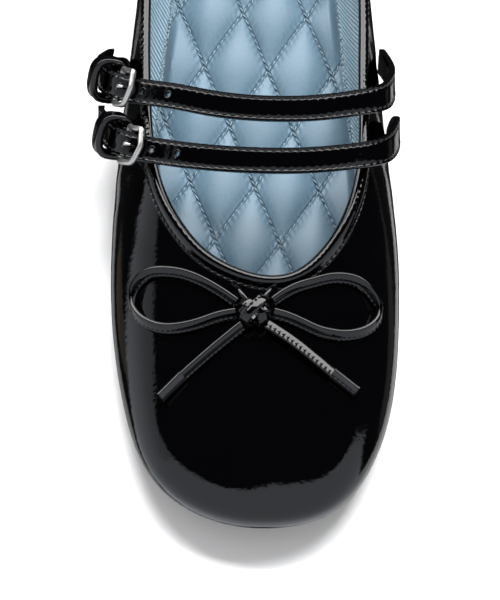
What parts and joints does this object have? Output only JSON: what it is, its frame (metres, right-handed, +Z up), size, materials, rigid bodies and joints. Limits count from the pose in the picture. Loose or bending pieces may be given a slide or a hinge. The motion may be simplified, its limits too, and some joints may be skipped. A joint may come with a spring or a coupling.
{
  "type": "mary jane shoe",
  "caption": "Women's flat ballet shoe in black patent with a square-round toe, buckled instep straps, a small string bow on the vamp and a quilted satin insole.",
  "frame": {"origin": "middle of the heel's flat underside, on the floor", "axes": "+Z up, +Y from toe to heel, +X towards the inner side of the foot"},
  "size_m": [0.0963, 0.2501, 0.0597],
  "materials": {
    "patent": "black patent, mirror gloss",
    "satin": "light blue quilted satin",
    "sole_rubber": "matt black, fine grain",
    "buckle_metal": "satin silver",
    "bow_string": "black patent, folded and stitched",
    "aglet": "gloss black"
  },
  "bodies": {
    "root": {"upper": "patent", "topline_binding": "patent", "outsole": "sole_rubber", "heel": "sole_rubber", "insole": "satin", "strap_front": "patent", "strap_rear": "patent", "buckle_strap_front": "patent", "buckle_strap_rear": "patent", "keeper_front": "patent", "keeper_rear": "patent", "buckle_frame_front": "buckle_metal", "buckle_frame_rear": "buckle_metal", "buckle_prong_front": "buckle_metal", "buckle_prong_rear": "buckle_metal", "bow_knot": "bow_string", "bow_loop_outer": "bow_string", "bow_loop_inner": "bow_string", "bow_tail_outer": "bow_string", "bow_tail_inner": "bow_string", "aglet_outer": "aglet", "aglet_inner": "aglet"}
  },
  "joints": []
}
